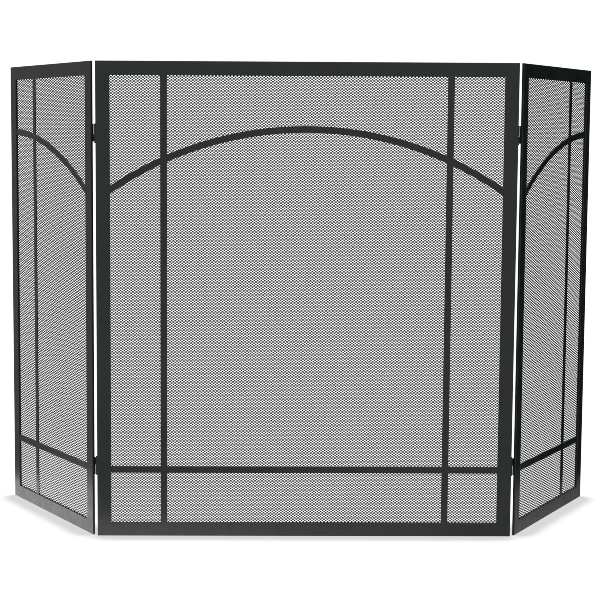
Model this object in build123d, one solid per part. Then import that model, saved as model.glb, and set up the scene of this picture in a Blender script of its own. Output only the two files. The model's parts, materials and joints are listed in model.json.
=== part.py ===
from build123d import *

import os

# Three-panel folding fireplace screen in flat steel bar and expanded-metal mesh.
#
# +X runs along the centre panel to the viewer's right, +Y to the fire behind it, and +Z up.
# The origin is the middle of the centre panel's underside. Sizes are in millimetres, and
# angles in degrees.

# Driving dimensions
HEIGHT = 787.0
CENTRE_WIDTH = 691.0
SIDE_WIDTH = 340.0
REST_FOLD = 59.5  # how far each side panel stands folded back from flat

# Frame bars, with mitred corners
BAR_WIDTH = 23.0
BAR_THICKNESS = 4.0
BAR_ROUNDING = 0.9

# Decorative bars: uprights, arch and low rail, their backs against the mesh
TRIM_WIDTH = 11.0
TRIM_THICKNESS = 1.5
TRIM_EDGE = 0.35  # rounding of the straight bars' edges, and chamfer of the arch's
CENTRE_UPRIGHT_INSET = 111.0  # from the panel's end to the upright's centreline
SIDE_UPRIGHT_INSET = 105.0
CENTRE_ARCH_BELOW_TOP = 109.5  # from the panel's top to the crown of the arch's centreline
CENTRE_ARCH_DROP = 100.0  # from the crown to where the centreline meets a stile
SIDE_ARCH_BELOW_TOP = 115.0
SIDE_ARCH_DROP = 96.0
LOW_RAIL_HEIGHT = 112.5

# Mesh and the strips that clamp it, both in a rebate round the back of the frame
MESH_THICKNESS = 0.8
STRIP_WIDTH = 12.0
STRIP_THICKNESS = 1.2

# Pan-head screws through the strips, and their holes
SCREW_RADIUS = 1.7
SCREW_HOLE_RADIUS = 1.9
SCREW_DEPTH = 1.4  # of the shank in the frame bar
SCREW_HOLE_DEPTH = 1.5
HEAD_RADIUS = 3.2
HEAD_HEIGHT = 1.5
HEAD_ROUNDING = 0.9
RECESS_LENGTH = 3.8
RECESS_WIDTH = 0.8
RECESS_DEPTH = 0.8
SCREW_END_MARGIN = 45.0  # from a panel's end to the first screw in its top strip
CENTRE_SCREWS = (6, 6)  # along the top strip, and up the side strip
SIDE_SCREWS = (3, 6)

# Hinges: two leaves welded on, each with one knuckle, and a headed pin
PANEL_GAP = 3.0  # between the panels when they stand in line
HINGE_HEIGHTS = {"lower": 117.0, "upper": 670.5}
HINGE_HEIGHT = 29.0
KNUCKLE_RADIUS = 3.5
SWING_KNUCKLE = 12.0  # height of the side panel's knuckle, the one nearer mid-height
KNUCKLE_GAP = 0.2
AXIS_INSET = 0.5  # from the centre panel's end in to the pin's axis
AXIS_BEHIND = 6.2  # from the panels' middle plane back to the pin's axis
PIN_RADIUS = 1.75
PIN_CLEARANCE = 0.07
PIN_HEAD_RADIUS = 3.2
PIN_HEAD_HEIGHT = 2.4
PIN_TAIL = 1.0
LEAF_WIDTH = 10.3
LEAF_THICKNESS = 1.6
LEAF_SETBACK = 0.3  # from the bar's edge to the leaf's edge
LEAF_NOTCH = 4.4  # from the axis to the leaf's edge beside the other knuckle

# Worked out from the above
BACK = BAR_THICKNESS / 2  # the frame's back face, and the strips'
SEAT = BACK - MESH_THICKNESS - STRIP_THICKNESS  # the floor of the rebate, where the mesh lies
TRIM_FRONT = SEAT - TRIM_THICKNESS
TRIM_MIDDLE = SEAT - TRIM_THICKNESS / 2
STRIP_OUTSET = BAR_WIDTH - STRIP_WIDTH  # from the panel's end to the strip's outer edge
AXIS_X = CENTRE_WIDTH / 2 - AXIS_INSET
SIDE_START = CENTRE_WIDTH / 2 + PANEL_GAP  # where the right side panel starts when flat
EXTRA = 5.0  # how far a cutting shape runs past what it cuts


def box(x, y, z):
    """A box between pairs of coordinates."""
    size = [high - low for low, high in (x, y, z)]
    middle = [(low + high) / 2 for low, high in (x, y, z)]
    return Pos(*middle) * Box(*size)


def y_cylinder(radius, x, y_range, z):
    """A cylinder along Y."""
    length = y_range[1] - y_range[0]
    return Pos(x, y_range[0], z) * Rot(-90, 0, 0) * extrude(Circle(radius), length)


def z_cylinder(radius, x, y, z_range):
    """A cylinder along Z."""
    return Pos(x, y, z_range[0]) * extrude(Circle(radius), z_range[1] - z_range[0])


def flat_bar(length, width, thickness, rounding):
    """A bar standing on the origin along Z, its width along X and its thickness along Y."""
    return extrude(RectangleRounded(width, thickness, rounding), length)


def lying(bar):
    """A standing bar laid along X."""
    return Rot(0, 90, 0) * bar


def facing_prism(*corners):
    """A shape given by its corners in X and Z, thicker than any bar."""
    return extrude(Plane.XZ * Polygon(*corners, align=None), BAR_THICKNESS + EXTRA, both=True)


def rebate(left, right):
    """What is cut from the back of a panel's frame to seat its mesh and strips."""
    z_range = (STRIP_OUTSET, HEIGHT - STRIP_OUTSET)
    return box((left + STRIP_OUTSET, right - STRIP_OUTSET), (SEAT, BACK + EXTRA), z_range)


def frame_bars(left, right):
    """The four mitred bars of a panel from X = left to X = right, not yet rebated."""
    inner_left, inner_right = left + BAR_WIDTH, right - BAR_WIDTH
    inner_top = HEIGHT - BAR_WIDTH
    half = BAR_WIDTH / 2
    upright = flat_bar(HEIGHT, BAR_WIDTH, BAR_THICKNESS, BAR_ROUNDING)
    level = lying(flat_bar(right - left, BAR_WIDTH, BAR_THICKNESS, BAR_ROUNDING))
    return {
        "left_stile": Pos(left + half, 0, 0) * upright
        & facing_prism((left, 0), (inner_left, BAR_WIDTH), (inner_left, inner_top), (left, HEIGHT)),
        "right_stile": Pos(right - half, 0, 0) * upright
        & facing_prism((right, HEIGHT), (inner_right, inner_top), (inner_right, BAR_WIDTH), (right, 0)),
        "top_rail": Pos(left, 0, HEIGHT - half) * level
        & facing_prism((left, HEIGHT), (inner_left, inner_top), (inner_right, inner_top), (right, HEIGHT)),
        "bottom_rail": Pos(left, 0, half) * level
        & facing_prism((left, 0), (right, 0), (inner_right, BAR_WIDTH), (inner_left, BAR_WIDTH)),
    }


def arch_radius(half_span, drop):
    """The radius of an arc that falls by drop over half_span from its crown."""
    return (half_span**2 + drop**2) / (2 * drop)


def arch_ring(crown, radius, y_range, chamfer_size=0):
    """The whole ring of bar that an arch is cut from, over a range of Y, its crown at X and Z."""
    half = TRIM_WIDTH / 2
    ring = extrude(Circle(radius + half) - Circle(radius - half), y_range[1] - y_range[0])
    if chamfer_size:
        ring = chamfer(ring.edges().filter_by(GeomType.CIRCLE), chamfer_size)
    return Pos(crown[0], y_range[0], crown[1] - radius) * Rot(-90, 0, 0) * ring


def trim_bars(left, right, crown, half_span, drop, uprights):
    """The arch, the low rail and the uprights, halved into each other where they cross."""
    inner_left, inner_right = left + BAR_WIDTH, right - BAR_WIDTH
    half = TRIM_WIDTH / 2
    radius = arch_radius(half_span, drop)
    front_half = (TRIM_FRONT, TRIM_MIDDLE)
    back_half = (TRIM_MIDDLE, SEAT)

    within = box((inner_left, inner_right), (-EXTRA, EXTRA), (crown[1] - 2 * drop, HEIGHT))
    arch = arch_ring(crown, radius, (TRIM_FRONT, SEAT), TRIM_EDGE) & within
    low_rail = Pos(inner_left, TRIM_MIDDLE, LOW_RAIL_HEIGHT) * lying(
        flat_bar(inner_right - inner_left, TRIM_WIDTH, TRIM_THICKNESS, TRIM_EDGE)
    )
    rail_band = (LOW_RAIL_HEIGHT - half, LOW_RAIL_HEIGHT + half)
    crossings = arch_ring(crown, radius, front_half) + box((left, right), front_half, rail_band)
    bars = {}
    for name, x in uprights.items():
        upright = flat_bar(HEIGHT - 2 * BAR_WIDTH, TRIM_WIDTH, TRIM_THICKNESS, TRIM_EDGE)
        bars[name] = Pos(x, TRIM_MIDDLE, BAR_WIDTH) * upright - crossings
        notch = box((x - half, x + half), back_half, (0, HEIGHT))
        arch -= notch
        low_rail -= notch
    bars["arch"] = arch
    bars["low_rail"] = low_rail
    return bars


def spread(first, last, count):
    """Evenly spaced places from first to last."""
    return [first + (last - first) * i / (count - 1) for i in range(count)]


def screw_places(left, right, counts):
    """Where the screws go through the strips, as X and Z."""
    along, up = counts
    line = STRIP_OUTSET + STRIP_WIDTH / 2
    places = []
    for x in spread(left + SCREW_END_MARGIN, right - SCREW_END_MARGIN, along):
        places += [(x, line), (x, HEIGHT - line)]
    for z in spread(2 * SCREW_END_MARGIN, HEIGHT - 2 * SCREW_END_MARGIN, up):
        places += [(left + line, z), (right - line, z)]
    return places


def mesh_sheet(left, right):
    """The mesh as a plain sheet of its real outline and thickness."""
    z_range = (STRIP_OUTSET, HEIGHT - STRIP_OUTSET)
    return box((left + STRIP_OUTSET, right - STRIP_OUTSET), (SEAT, SEAT + MESH_THICKNESS), z_range)


def strips(left, right):
    """The four clamping strips, the side ones standing between the other two."""
    outer_left, outer_right = left + STRIP_OUTSET, right - STRIP_OUTSET
    y_range = (SEAT + MESH_THICKNESS, BACK)
    top, bottom = HEIGHT - BAR_WIDTH, BAR_WIDTH
    return {
        "top_strip": box((outer_left, outer_right), y_range, (top, top + STRIP_WIDTH)),
        "bottom_strip": box((outer_left, outer_right), y_range, (bottom - STRIP_WIDTH, bottom)),
        "left_strip": box((outer_left, outer_left + STRIP_WIDTH), y_range, (bottom, top)),
        "right_strip": box((outer_right - STRIP_WIDTH, outer_right), y_range, (bottom, top)),
    }


def screw():
    """A pan-head screw along Y, its head resting on a strip, with a cross recess."""
    head = extrude(Circle(HEAD_RADIUS), HEAD_HEIGHT)
    head = fillet(head.edges().sort_by(Axis.Z)[-1], HEAD_ROUNDING)
    for turn in (0, 90):
        head -= Pos(0, 0, HEAD_HEIGHT) * Rot(0, 0, turn) * Box(RECESS_LENGTH, RECESS_WIDTH, 2 * RECESS_DEPTH)
    shank = y_cylinder(SCREW_RADIUS, 0, (SEAT - SCREW_DEPTH, BACK), 0)
    return Pos(0, BACK, 0) * Rot(-90, 0, 0) * head + shank


def cut_all(piece, cutters):
    """A piece less those cutters, given with their X and Z, that reach it."""
    bounds = piece.bounding_box()
    for x, z, cutter in cutters:
        if bounds.min.X < x < bounds.max.X and bounds.min.Z < z < bounds.max.Z:
            piece -= cutter
    return piece


def panel(left, right, crown, half_span, drop, uprights, counts):
    """Every piece of one flat panel but its hinge leaves."""
    places = screw_places(left, right, counts)
    blind = (SEAT - SCREW_HOLE_DEPTH, BACK + EXTRA)
    through = (SEAT - EXTRA, BACK + EXTRA)
    tapped = [(x, z, y_cylinder(SCREW_RADIUS, x, blind, z)) for x, z in places]
    clearance = [(x, z, y_cylinder(SCREW_HOLE_RADIUS, x, through, z)) for x, z in places]
    seat = rebate(left, right)
    pieces = {name: cut_all(bar - seat, tapped) for name, bar in frame_bars(left, right).items()}
    pieces.update(trim_bars(left, right, crown, half_span, drop, uprights))
    pieces["mesh"] = cut_all(mesh_sheet(left, right), clearance)
    pieces.update({name: cut_all(strip, clearance) for name, strip in strips(left, right).items()})
    one_screw = screw()
    pieces["screws"] = Compound([Pos(x, 0, z) * one_screw for x, z in places])
    return pieces


def knuckle(bore, z_range):
    """A rolled knuckle round the right-hand pin's axis."""
    outside = z_cylinder(KNUCKLE_RADIUS, AXIS_X, AXIS_BEHIND, z_range)
    return outside - z_cylinder(bore, AXIS_X, AXIS_BEHIND, z_range)


def fixed_leaf(low, split, high):
    """The centre panel's leaf, its knuckle gripping the pin below the split."""
    y_range = (BACK, BACK + LEAF_THICKNESS)
    edge = CENTRE_WIDTH / 2 - LEAF_SETBACK
    leaf = box((edge - LEAF_WIDTH, edge), y_range, (low, high))
    leaf -= box((AXIS_X - LEAF_NOTCH, edge + EXTRA), y_range, (split, high))
    leaf -= z_cylinder(PIN_RADIUS, AXIS_X, AXIS_BEHIND, (low, split))
    return leaf + knuckle(PIN_RADIUS, (low, split))


def swing_leaf(low, split, high):
    """The side panel's leaf, its knuckle turning on the pin above the split."""
    y_range = (BACK, BACK + LEAF_THICKNESS)
    edge = SIDE_START + LEAF_SETBACK
    bore = PIN_RADIUS + PIN_CLEARANCE
    tongue_end = edge + LEAF_WIDTH / 2
    leaf = box((edge, edge + LEAF_WIDTH), y_range, (low, high))
    leaf += box((AXIS_X, tongue_end), y_range, (split + KNUCKLE_GAP, high))
    leaf -= z_cylinder(bore, AXIS_X, AXIS_BEHIND, (split, high))
    return leaf + knuckle(bore, (split + KNUCKLE_GAP, high))


def hinge_pin(low, high):
    """The pin, its domed head over the side panel's knuckle."""
    shank_top = high + KNUCKLE_GAP
    shank = z_cylinder(PIN_RADIUS, AXIS_X, AXIS_BEHIND, (low - PIN_TAIL, shank_top))
    shank = chamfer(shank.edges().sort_by(Axis.Z)[0], PIN_RADIUS / 4)
    head = extrude(Circle(PIN_HEAD_RADIUS), PIN_HEAD_HEIGHT)
    head = fillet(head.edges().sort_by(Axis.Z)[-1], PIN_HEAD_HEIGHT / 2)
    return shank + Pos(AXIS_X, AXIS_BEHIND, shank_top) * head


def hinge(middle, upper):
    """A right-hand hinge with the panels in line; an upper one is a lower one upside down."""
    low, high = -HINGE_HEIGHT / 2, HINGE_HEIGHT / 2
    split = high - SWING_KNUCKLE - KNUCKLE_GAP
    pieces = {
        "fixed_leaf": fixed_leaf(low, split, high),
        "swing_leaf": swing_leaf(low, split, high),
        "pin": hinge_pin(low, high),
    }
    if upper:
        pieces = {name: mirror(piece, Plane.XY) for name, piece in pieces.items()}
    return {name: Pos(0, 0, middle) * piece for name, piece in pieces.items()}


def folded(piece):
    """A piece of the right side panel, turned from flat to its resting fold."""
    return Pos(AXIS_X, AXIS_BEHIND, 0) * Rot(0, 0, REST_FOLD) * Pos(-AXIS_X, -AXIS_BEHIND, 0) * piece


def mirrored(piece):
    """The same piece on the left."""
    return mirror(piece, Plane.YZ)


def build():
    """Every piece by its name, in place."""
    half_width = CENTRE_WIDTH / 2
    upright_x = half_width - CENTRE_UPRIGHT_INSET
    centre = panel(
        -half_width,
        half_width,
        crown=(0, HEIGHT - CENTRE_ARCH_BELOW_TOP),
        half_span=half_width - BAR_WIDTH,
        drop=CENTRE_ARCH_DROP,
        uprights={"left_upright": -upright_x, "right_upright": upright_x},
        counts=CENTRE_SCREWS,
    )
    pieces = {f"centre_{name}": piece for name, piece in centre.items()}

    side_end = SIDE_START + SIDE_WIDTH
    side = panel(
        SIDE_START,
        side_end,
        crown=(side_end, HEIGHT - SIDE_ARCH_BELOW_TOP),
        half_span=SIDE_WIDTH - BAR_WIDTH,
        drop=SIDE_ARCH_DROP,
        uprights={"upright": side_end - SIDE_UPRIGHT_INSET},
        counts=SIDE_SCREWS,
    )
    renamed = {"left_stile": "hinge_stile", "right_stile": "outer_stile"}
    renamed.update({"left_strip": "hinge_strip", "right_strip": "outer_strip"})
    for name, piece in side.items():
        piece = folded(piece)
        name = renamed.get(name, name)
        pieces[f"right_{name}"] = piece
        pieces[f"left_{name}"] = mirrored(piece)

    for level, height in HINGE_HEIGHTS.items():
        for name, piece in hinge(height, upper=level == "upper").items():
            if name == "swing_leaf":
                piece = folded(piece)
            pieces[f"right_{level}_hinge_{name}"] = piece
            pieces[f"left_{level}_hinge_{name}"] = mirrored(piece)
    return pieces


os.makedirs("parts", exist_ok=True)
for node, shape in build().items():
    export_step(shape, f"parts/{node}.step")
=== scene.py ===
"""Looks of the folding fireplace screen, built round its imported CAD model. Lengths are in metres."""

import json
import math

import bpy
import numpy as np
from mathutils import Matrix, Vector


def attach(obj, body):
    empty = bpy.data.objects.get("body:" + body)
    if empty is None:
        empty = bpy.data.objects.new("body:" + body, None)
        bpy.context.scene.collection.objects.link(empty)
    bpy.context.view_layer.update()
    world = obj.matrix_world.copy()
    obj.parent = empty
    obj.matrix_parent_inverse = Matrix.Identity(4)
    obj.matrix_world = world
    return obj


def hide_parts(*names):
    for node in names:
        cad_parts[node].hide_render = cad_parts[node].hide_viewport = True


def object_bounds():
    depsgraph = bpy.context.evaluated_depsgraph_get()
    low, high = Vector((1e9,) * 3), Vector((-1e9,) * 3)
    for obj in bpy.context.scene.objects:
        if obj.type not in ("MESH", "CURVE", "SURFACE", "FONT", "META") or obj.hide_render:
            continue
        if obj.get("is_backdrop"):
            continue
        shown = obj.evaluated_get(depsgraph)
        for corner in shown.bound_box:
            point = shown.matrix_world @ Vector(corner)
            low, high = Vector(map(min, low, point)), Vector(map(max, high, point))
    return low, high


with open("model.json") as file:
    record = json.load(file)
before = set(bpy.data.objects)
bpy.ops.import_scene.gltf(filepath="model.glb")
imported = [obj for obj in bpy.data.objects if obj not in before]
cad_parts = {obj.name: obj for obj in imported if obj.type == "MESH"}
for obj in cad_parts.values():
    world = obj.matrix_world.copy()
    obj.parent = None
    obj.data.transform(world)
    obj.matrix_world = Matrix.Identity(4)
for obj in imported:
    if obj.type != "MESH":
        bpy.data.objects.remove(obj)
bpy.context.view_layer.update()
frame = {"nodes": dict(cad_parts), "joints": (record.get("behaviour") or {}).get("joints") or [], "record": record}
PANELS = ("centre", "left", "right")
SAME_PLACE = 0.0001  # points less than this apart are in the same place

# Expanded metal: each hole is a diamond between two zigzag strands
HOLE_PITCH_ALONG = {"centre": 0.00579, "left": 0.01158, "right": 0.01158}
HOLE_PITCH_UP = 0.00434
STRAND_WIDTH = 0.00122
STRAND_THICKNESS = 0.0005
STRAND_TILT = math.radians(18)
HALF_BOND = 0.34  # half a bond's length, as a share of the distance between bonds
BOND_OVERLAP = 0.00012  # how far neighbouring strands run into each other where they join
MESH_PIECE_TRIANGLES = 180_000

# Weld beads: behind, across the mitres and along the hinge leaves' ends; in front, across the trim's ends
BEAD_RADII = {"mitre": 0.0009, "leaf": 0.0012, "trim": 0.0007}
BEAD_RIPPLE = 0.0011  # from one ripple to the next
RINGS_PER_RIPPLE = 5
BEAD_SIDES = 8
BEAD_CAP = np.array([(0, 3, 2, 1), (0, 7, 4, 3), (4, 7, 6, 5)])  # the quads that close an eight-sided end
RIPPLE_DEPTH = 0.16  # of the radius
BEAD_UNEVENNESS = 0.08
BEAD_SEED = 7
BEAD_END_MARGIN = 0.0008
BEAD_END_SHARPNESS = 5  # the higher, the nearer its ends a bead stays full
BEAD_END_AREA = 0.05  # a bead's end over its middle
LEAF_BEAD_LENGTH = 0.0056

# Studio: how bright the backdrop and the lights are, the walls named by their side of the screen
BACKDROP_STRENGTH = 1.03
SOFTBOX_STRENGTH = 2.0
SOFTBOX_FADE = (0.35, 0.65)  # sine of the elevation where it starts and where it is full
FRONT_WALL = 0.62
LEFT_WALL = 0.4
BACK_WALL = 1.0
FLOOR_SIZE = 120
FLOOR_DROP = 0.0002  # from the screen's foot down to the floor
# Painted shadow: the floor only glows, and an occlusion test dims its glow near the screen's foot
PAINTED_SHADOW_REACH = 0.06  # how far from the screen's foot the painted shadow on the floor reaches
PAINTED_SHADOW_SAMPLES = 16
PAINTED_SHADOW_OPEN = (0.72, 0.93)  # open share of the sky where the floor is darkest, and fully bright
PAINTED_SHADOW_STRENGTH = 0.69  # of the floor's glow where its painted shadow is darkest

# The patch of floor that the paint mirrors
PATCH_DROP = 0.0004
PATCH_MARGIN = 0.12  # past the screen's box all round
PATCH_STRENGTHS = (2.0, 0.3)  # at its left and right edges

# Camera
CAMERA_PLACE = Vector((-0.0991, -2.6153, 0.6706))
CAMERA_YAW = math.radians(0.726)
CAMERA_PITCH = math.radians(5.966)
CAMERA_ROLL = math.radians(0.307)
CAMERA_LENS = 95.6
CAMERA_SHIFT_X = 0.0567
CAMERA_REACH = 200
PIXEL_FILTER = 0.8  # width in pixels; any wider blurs the mesh


# Panels


def panel_body(panel):
    return f"{panel}_panel"


def unfold(panel):
    """The matrix from the panel laid in line with the centre one to the panel as it stands."""
    for joint in frame["joints"]:
        if joint["child"] == panel_body(panel):
            turn = Matrix.Rotation(-math.radians(joint["range_deg"][0]), 4, Vector(joint["axis"]))
            place = Matrix.Translation(Vector(joint["pos_m"]))
            return place @ turn @ place.inverted()
    return Matrix.Identity(4)


STANDING = {panel: unfold(panel) for panel in PANELS}


def flat_points(node, panel):
    """The points of a CAD node with its panel laid in line with the centre one."""
    lay = np.array(STANDING[panel].inverted())
    points = np.array([v.co for v in frame["nodes"][node].data.vertices])
    return points @ lay[:3, :3].T + lay[:3, 3]


def flat_box(node, panel):
    """The lowest and highest corners of a CAD node with its panel laid in line with the centre one."""
    points = flat_points(node, panel)
    return points.min(0), points.max(0)


# Materials


class Nodes:
    """Builds one node tree."""

    def __init__(self, tree):
        self.tree = tree
        tree.nodes.clear()

    def add(self, kind, inputs=(), **settings):
        node = self.tree.nodes.new(kind)
        for name, value in settings.items():
            setattr(node, name, value)
        for name, value in dict(inputs).items():
            self.put(node.inputs[name], value)
        return node

    def put(self, socket, value):
        if isinstance(value, bpy.types.NodeSocket):
            self.tree.links.new(value, socket)
        else:
            socket.default_value = value

    def math(self, operation, *values):
        return self.add("ShaderNodeMath", enumerate(values), operation=operation).outputs[0]

    def ramp(self, value, start, end, low=0.0, high=1.0):
        """A smooth climb from low to high as value goes from start to end."""
        inputs = {"Value": value, "From Min": start, "From Max": end, "To Min": low, "To Max": high}
        node = self.add("ShaderNodeMapRange", inputs, interpolation_type="SMOOTHSTEP")
        return node.outputs["Result"]

    def noise(self, place, scale, detail=2.0, roughness=0.5):
        inputs = {"Vector": place, "Scale": scale, "Detail": detail, "Roughness": roughness}
        return self.add("ShaderNodeTexNoise", inputs).outputs["Fac"]

    def mix(self, factor, first, second):
        """A blend of two colours."""
        node = self.add("ShaderNodeMix", data_type="RGBA")
        self.put(node.inputs["Factor"], factor)
        self.put(node.inputs[6], first)
        self.put(node.inputs[7], second)
        return node.outputs[2]


def new_material(name):
    material = bpy.data.materials.new(name)
    material.use_nodes = True
    return material, Nodes(material.node_tree)


def satin_paint(name, dark, light, roughness, grain_height):
    """Sprayed satin paint: cloudy in tone, with a fine orange-peel grain and a few dust nibs."""
    material, nodes = new_material(name)
    place = nodes.add("ShaderNodeTexCoord").outputs["Object"]
    clouds = nodes.noise(place, 9.0, 4.0, 0.6)
    speckle = nodes.noise(place, 900.0, 2.0)
    tone = nodes.math("ADD", nodes.math("MULTIPLY", clouds, 0.7), nodes.math("MULTIPLY", speckle, 0.3))
    colour = nodes.mix(nodes.ramp(tone, 0.35, 0.65), (*dark, 1), (*light, 1))
    sheen = nodes.ramp(nodes.noise(place, 60.0, 3.0), 0.3, 0.7, roughness - 0.04, roughness + 0.06)
    peel = nodes.noise(place, 650.0, 1.0)
    nibs = nodes.ramp(nodes.noise(place, 380.0, 0.0), 0.76, 0.84)
    height = nodes.math("ADD", peel, nodes.math("MULTIPLY", nibs, 2.0))
    bump_inputs = {"Height": height, "Distance": grain_height, "Strength": 1.0}
    bump = nodes.add("ShaderNodeBump", bump_inputs).outputs["Normal"]
    shader_inputs = {"Base Color": colour, "Roughness": sheen, "Normal": bump, "IOR": 1.5}
    shader = nodes.add("ShaderNodeBsdfPrincipled", shader_inputs)
    nodes.add("ShaderNodeOutputMaterial", {"Surface": shader.outputs[0]})
    return material


def black_steel(name, dark, light, roughness):
    """Blackened steel, rubbed a little brighter in patches."""
    material, nodes = new_material(name)
    place = nodes.add("ShaderNodeTexCoord").outputs["Object"]
    rub = nodes.ramp(nodes.noise(place, 420.0, 3.0, 0.6), 0.45, 0.75)
    colour = nodes.mix(rub, (*dark, 1), (*light, 1))
    sheen = nodes.ramp(rub, 0.0, 1.0, roughness + 0.08, roughness - 0.06)
    bump_inputs = {"Height": nodes.noise(place, 1500.0, 2.0), "Distance": 0.00004}
    bump = nodes.add("ShaderNodeBump", bump_inputs).outputs["Normal"]
    shader_inputs = {"Base Color": colour, "Roughness": sheen, "Normal": bump, "Metallic": 0.8}
    shader = nodes.add("ShaderNodeBsdfPrincipled", shader_inputs)
    nodes.add("ShaderNodeOutputMaterial", {"Surface": shader.outputs[0]})
    return material


MATERIALS = {
    "frame_paint": satin_paint("frame_paint", (0.004, 0.007, 0.006), (0.007, 0.0108, 0.0094), 0.31, 0.00003),
    "strip_paint": satin_paint("strip_paint", (0.008, 0.0095, 0.009), (0.015, 0.017, 0.0165), 0.42, 0.00004),
    "hinge_paint": satin_paint("hinge_paint", (0.008, 0.010, 0.0095), (0.014, 0.016, 0.0155), 0.34, 0.00005),
    "mesh_paint": satin_paint("mesh_paint", (0.007, 0.008, 0.0078), (0.013, 0.0145, 0.014), 0.4, 0.00002),
    "pin_steel": black_steel("pin_steel", (0.02, 0.021, 0.022), (0.12, 0.12, 0.12), 0.36),
    "screw_steel": black_steel("screw_steel", (0.018, 0.018, 0.02), (0.08, 0.08, 0.085), 0.34),
}


def paint(piece, slot):
    """Gives a piece the finish of one of the record's material slots."""
    piece.data.materials.clear()
    piece.data.materials.append(MATERIALS[slot])


def paint_cad_nodes():
    for subpart in frame["record"]["subparts"]:
        paint(frame["nodes"][subpart["node"]], subpart["material_slot"])


# Pieces


def new_piece(name, points, faces, body, slot):
    """A piece from its points in the row frame and its faces, all with as many corners each."""
    mesh = bpy.data.meshes.new(name)
    corners = faces.shape[1]
    mesh.vertices.add(len(points))
    mesh.vertices.foreach_set("co", points.astype(np.float32).ravel())
    mesh.loops.add(faces.size)
    mesh.loops.foreach_set("vertex_index", faces.astype(np.int32).ravel())
    mesh.polygons.add(len(faces))
    mesh.polygons.foreach_set("loop_start", np.arange(0, faces.size, corners, dtype=np.int32))
    mesh.update(calc_edges=True)
    piece = bpy.data.objects.new(name, mesh)
    bpy.context.scene.collection.objects.link(piece)
    paint(piece, slot)
    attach(piece, body)
    return piece


def lay_out(piece, places):
    """Gives a piece the texture layout that its finish is baked to, from a place for each point."""
    corners = np.empty(len(piece.data.loops), np.int32)
    piece.data.loops.foreach_get("vertex_index", corners)
    layer = piece.data.uv_layers.new(name="OFBake")
    layer.data.foreach_set("uv", places[corners].astype(np.float32).ravel())


def stood(points, panel):
    """Points given with the panel laid flat, moved to where the panel stands."""
    matrix = np.array(STANDING[panel])
    return points @ matrix[:3, :3].T + matrix[:3, 3]


def tube_faces(sections, sides):
    """Quads along one tube of sections, each a ring of as many points as it has sides."""
    start = np.arange(sections - 1)[:, None] * sides
    side = np.arange(sides)[None, :]
    after = (side + 1) % sides
    following = start + sides
    quads = np.stack([start + side, start + after, following + after, following + side], -1)
    return quads.reshape(-1, 4)


# Expanded metal


def strand_section():
    """The four corners of a strand's section, in Y and Z, tilted as the slitting press leaves it."""
    half_width, half_thickness = STRAND_WIDTH / 2, STRAND_THICKNESS / 2
    corners = np.array([(-1, -1), (1, -1), (1, 1), (-1, 1)]) * (half_thickness, half_width)
    cosine, sine = math.cos(STRAND_TILT), math.sin(STRAND_TILT)
    turn = np.array([(cosine, -sine), (sine, cosine)])
    return corners @ turn.T


def expanded_metal(panel):
    """The panel's mesh as rows of zigzag strands, in a few pieces one above the other."""
    low, high = flat_box(f"{panel}_mesh", panel)
    size = high - low
    section = strand_section()
    bonds = round(size[0] / (HOLE_PITCH_ALONG[panel] / 2)) + 1
    bond_pitch = size[0] / (bonds - 1)
    rows = round(size[2] / (HOLE_PITCH_UP / 2))
    row_pitch = size[2] / rows
    swing = (row_pitch - np.ptp(section[:, 1]) + BOND_OVERLAP) / 2

    ends = np.array([-HALF_BOND, HALF_BOND]) * bond_pitch
    along = (np.arange(bonds)[:, None] * bond_pitch + ends).ravel().clip(0, size[0]) + low[0]
    turns = np.repeat(np.where(np.arange(bonds) % 2 == 0, 1.0, -1.0), 2)
    sections = len(along)
    caps = [[0, 3, 2, 1], [4 * sections - 4 + i for i in range(4)]]
    one_strand = np.concatenate([tube_faces(sections, 4), caps])
    piece_count = math.ceil(rows * 2 * len(one_strand) / MESH_PIECE_TRIANGLES)
    for piece_number, row in enumerate(np.array_split(np.arange(rows), piece_count), 1):
        middle = low[2] + (row + 0.5) * row_pitch
        lean = np.where(row % 2 == 0, 1.0, -1.0)
        zigzag = middle[:, None] + swing * lean[:, None] * turns
        points = np.empty((len(row), sections, 4, 3))
        points[..., 0] = along[None, :, None]
        points[..., 1] = (low[1] + high[1]) / 2 + section[:, 0]
        points[..., 2] = zigzag[:, :, None] + section[:, 1]
        points = points.reshape(-1, 3)
        faces = (np.arange(len(row))[:, None, None] * 4 * sections + one_strand).reshape(-1, 4)
        name = f"{panel}_expanded_metal_{piece_number}"
        piece = new_piece(name, stood(points, panel), faces, panel_body(panel), "mesh_paint")
        piece.data.polygons.foreach_set("use_smooth", np.ones(len(faces), bool))
        lay_out(piece, (points[:, [0, 2]] - low[[0, 2]]) / size.max())
        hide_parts(f"{panel}_mesh")


# Weld beads


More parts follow.
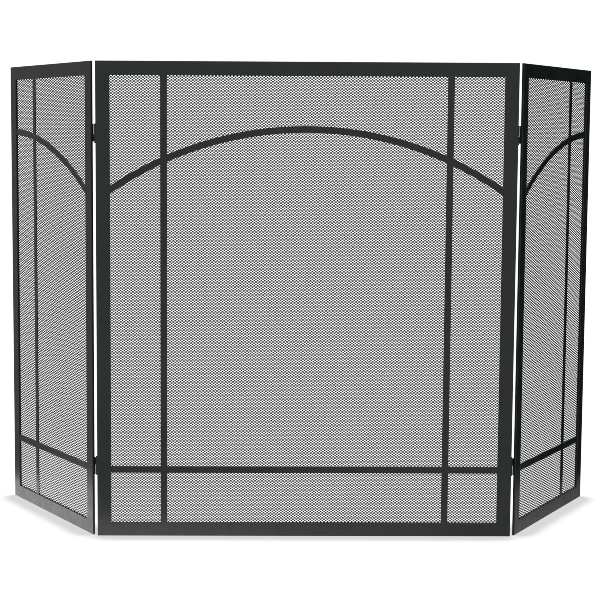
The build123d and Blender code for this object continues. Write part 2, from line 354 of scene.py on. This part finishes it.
class Beads:
    """Gathers the weld beads of one panel, laid in line with the centre one, into one piece."""

    def __init__(self, panel):
        self.panel = panel
        self.points = []
        self.faces = []
        self.count = 0
        self.random = np.random.default_rng(BEAD_SEED)

    def add(self, start, end, radius):
        """A rippled bead from start to end, thinning to its closed ends."""
        start, end = np.array(start), np.array(end)
        length = np.linalg.norm(end - start)
        forward = (end - start) / length
        upward = np.array((0.0, 1.0, 0.0)) if abs(forward[1]) < 0.5 else np.array((0.0, 0.0, 1.0))
        sideways = np.cross(forward, upward)
        ripples = max(3, round(length / BEAD_RIPPLE))
        share = np.linspace(0, 1, ripples * RINGS_PER_RIPPLE + 1)
        ripple = 1 - RIPPLE_DEPTH * (1 - np.abs(np.sin(math.pi * ripples * share)))
        wander = self.random.uniform(-BEAD_UNEVENNESS, BEAD_UNEVENNESS, ripples + 1)
        wander = np.interp(share, np.linspace(0, 1, ripples + 1), wander)
        fullness = 1 - np.abs(2 * share - 1) ** BEAD_END_SHARPNESS
        taper = np.sqrt(np.maximum(fullness, BEAD_END_AREA))
        size = radius * taper * (ripple + wander)
        angle = np.arange(BEAD_SIDES) * 2 * math.pi / BEAD_SIDES
        ring = np.cos(angle)[:, None] * sideways + np.sin(angle)[:, None] * upward
        middles = start + share[:, None] * (end - start)
        points = middles[:, None, :] + size[:, None, None] * ring
        last = (len(share) - 1) * BEAD_SIDES
        caps = [BEAD_CAP, BEAD_CAP[:, ::-1] + last]
        faces = np.concatenate([tube_faces(len(share), BEAD_SIDES), *caps])
        self.points.append(points.reshape(-1, 3))
        self.faces.append(faces + self.count)
        self.count += len(share) * BEAD_SIDES

    def piece(self):
        """All the gathered beads."""
        points = stood(np.concatenate(self.points), self.panel)
        faces = np.concatenate(self.faces)
        name = f"{self.panel}_weld_beads"
        piece = new_piece(name, points, faces, panel_body(self.panel), "frame_paint")
        piece.data.polygons.foreach_set("use_smooth", np.ones(len(piece.data.polygons), bool))
        return piece


def mitre_beads(beads):
    """Across the open part of each mitre, behind."""
    panel = beads.panel
    low, high = flat_box(f"{panel}_bottom_rail", panel)[0], flat_box(f"{panel}_top_rail", panel)[1]
    reach = flat_box(f"{panel}_mesh", panel)[0][0] - low[0] - BEAD_END_MARGIN
    for x, inward in ((low[0], 1), (high[0], -1)):
        for z, upward in ((low[2], 1), (high[2], -1)):
            start = (x + inward * BEAD_END_MARGIN, high[1], z + upward * BEAD_END_MARGIN)
            end = (x + inward * reach, high[1], z + upward * reach)
            beads.add(start, end, BEAD_RADII["mitre"])


def leaf_beads(beads, node, outward):
    """Along both ends of a hinge leaf, from its edge away from the pin, which is outward in X."""
    low, high = flat_box(node, beads.panel)
    back = flat_box(f"{beads.panel}_top_rail", beads.panel)[1][1]
    edge = low[0] if outward > 0 else high[0]
    start_x = edge + outward * BEAD_END_MARGIN
    for z in (low[2], high[2]):
        end_x = start_x + outward * LEAF_BEAD_LENGTH
        beads.add((start_x, back, z), (end_x, back, z), BEAD_RADII["leaf"])


def trim_beads(beads, bar, axis):
    """Across both ends of a decorative bar in front; axis is 0 for a bar along X, 2 for one along Z."""
    node = f"{beads.panel}_{bar}"
    low, high = flat_box(node, beads.panel)
    points = flat_points(node, beads.panel)
    across = 2 - axis
    for end in (low[axis], high[axis]):
        at_end = points[np.abs(points[:, axis] - end) < SAME_PLACE]
        first = at_end[:, across].min() + BEAD_END_MARGIN
        last = at_end[:, across].max() - BEAD_END_MARGIN
        corners = []
        for place in (first, last):
            corner = np.array((0.0, low[1], 0.0))
            corner[axis], corner[across] = end, place
            corners.append(corner)
        beads.add(*corners, BEAD_RADII["trim"])


def weld(panel):
    """All the weld beads of a panel."""
    beads = Beads(panel)
    mitre_beads(beads)
    sides = {"centre": ("left", "right"), "left": ("left",), "right": ("right",)}[panel]
    leaf = "fixed_leaf" if panel == "centre" else "swing_leaf"
    uprights = ("left_upright", "right_upright") if panel == "centre" else ("upright",)
    for side in sides:
        towards_side = 1 if side == "right" else -1
        outward = towards_side if panel == "centre" else -towards_side
        for level in ("lower", "upper"):
            leaf_beads(beads, f"{side}_{level}_hinge_{leaf}", outward)
    trim_beads(beads, "low_rail", 0)
    trim_beads(beads, "arch", 0)
    for upright in uprights:
        trim_beads(beads, upright, 2)
    beads.piece()


# Surroundings


def build_floor():
    """An endless pale floor, as bright as the backdrop but for a painted shadow that dims its glow close round the
    screen's foot.
    """
    bpy.ops.mesh.primitive_plane_add(size=FLOOR_SIZE, location=(0, 0, -FLOOR_DROP))
    floor = bpy.context.object
    floor.name = "floor"
    material, nodes = new_material("pale_floor")
    inputs = {"Distance": PAINTED_SHADOW_REACH}
    occlusion = nodes.add("ShaderNodeAmbientOcclusion", inputs, samples=PAINTED_SHADOW_SAMPLES)
    open_share = occlusion.outputs["AO"]
    # painted shadow: the glow is dimmed where the occlusion test finds little open sky near the screen
    strength = nodes.ramp(open_share, *PAINTED_SHADOW_OPEN, PAINTED_SHADOW_STRENGTH, BACKDROP_STRENGTH)
    shader = nodes.add("ShaderNodeEmission", {"Strength": strength})
    nodes.add("ShaderNodeOutputMaterial", {"Surface": shader.outputs[0]})
    floor.data.materials.append(material)
    floor.visible_glossy = False
    floor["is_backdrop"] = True


def build_reflected_floor():
    """The bright patch of floor that the paint mirrors, stronger on the left, and seen by nothing else."""
    low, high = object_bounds()
    middle, size = (low + high) / 2, high - low
    bpy.ops.mesh.primitive_plane_add(size=1, location=(middle.x, middle.y, -PATCH_DROP))
    patch = bpy.context.object
    patch.name = "reflected_floor"
    patch.scale = (size.x + 2 * PATCH_MARGIN, size.y + 2 * PATCH_MARGIN, 1)
    material, nodes = new_material("reflected_floor")
    place = nodes.add("ShaderNodeTexCoord").outputs["Object"]
    across = nodes.add("ShaderNodeSeparateXYZ", {"Vector": place}).outputs["X"]
    strength = nodes.ramp(across, -0.5, 0.5, *PATCH_STRENGTHS)
    shader = nodes.add("ShaderNodeEmission", {"Strength": strength})
    nodes.add("ShaderNodeOutputMaterial", {"Surface": shader.outputs[0]})
    patch.data.materials.append(material)
    for ray in ("camera", "diffuse", "transmission", "volume_scatter", "shadow"):
        setattr(patch, f"visible_{ray}", False)
    patch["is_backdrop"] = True


def build_light():
    """A white cove to the camera, and to the screen a softbox overhead with dimmer walls round it."""
    world = bpy.data.worlds.new("studio")
    bpy.context.scene.world = world
    world.use_nodes = True
    nodes = Nodes(world.node_tree)
    direction = nodes.add("ShaderNodeTexCoord").outputs["Generated"]
    x, y, z = nodes.add("ShaderNodeSeparateXYZ", {"Vector": direction}).outputs
    strength = nodes.ramp(z, *SOFTBOX_FADE, 0.0, SOFTBOX_STRENGTH)
    walls = (
        (nodes.ramp(y, 0.0, -0.5), FRONT_WALL),
        (nodes.math("MULTIPLY", nodes.ramp(y, 0.0, 0.3), nodes.ramp(x, -0.2, -0.6)), LEFT_WALL),
        (nodes.ramp(y, 0.8, 0.95), BACK_WALL),
    )
    for share, brightness in walls:
        strength = nodes.math("ADD", strength, nodes.math("MULTIPLY", share, brightness))
    lighting = nodes.add("ShaderNodeBackground", {"Strength": strength})
    backdrop = nodes.add("ShaderNodeBackground", {"Color": (1, 1, 1, 1), "Strength": BACKDROP_STRENGTH})
    seen = nodes.add("ShaderNodeLightPath").outputs["Is Camera Ray"]
    mixed = nodes.add("ShaderNodeMixShader", {0: seen, 1: lighting.outputs[0], 2: backdrop.outputs[0]})
    nodes.add("ShaderNodeOutputWorld", {"Surface": mixed.outputs[0]})


def build_camera():
    camera = bpy.data.objects.new("camera", bpy.data.cameras.new("camera"))
    camera.data.lens = CAMERA_LENS
    camera.data.shift_x = CAMERA_SHIFT_X
    camera.data.clip_end = CAMERA_REACH
    aim = Matrix.Rotation(-CAMERA_YAW, 4, "Z") @ Matrix.Rotation(math.pi / 2 - CAMERA_PITCH, 4, "X")
    camera.matrix_world = Matrix.Translation(CAMERA_PLACE) @ aim @ Matrix.Rotation(CAMERA_ROLL, 4, "Z")
    bpy.context.scene.collection.objects.link(camera)
    bpy.context.scene.camera = camera


bpy.context.scene.view_settings.view_transform = "Standard"
bpy.context.scene.cycles.filter_width = PIXEL_FILTER
bpy.context.scene.cycles.use_denoising = False  # a denoiser smears the fine mesh and tints it
build_camera()
build_floor()
build_reflected_floor()
build_light()
paint_cad_nodes()
for each_panel in PANELS:
    expanded_metal(each_panel)
    weld(each_panel)
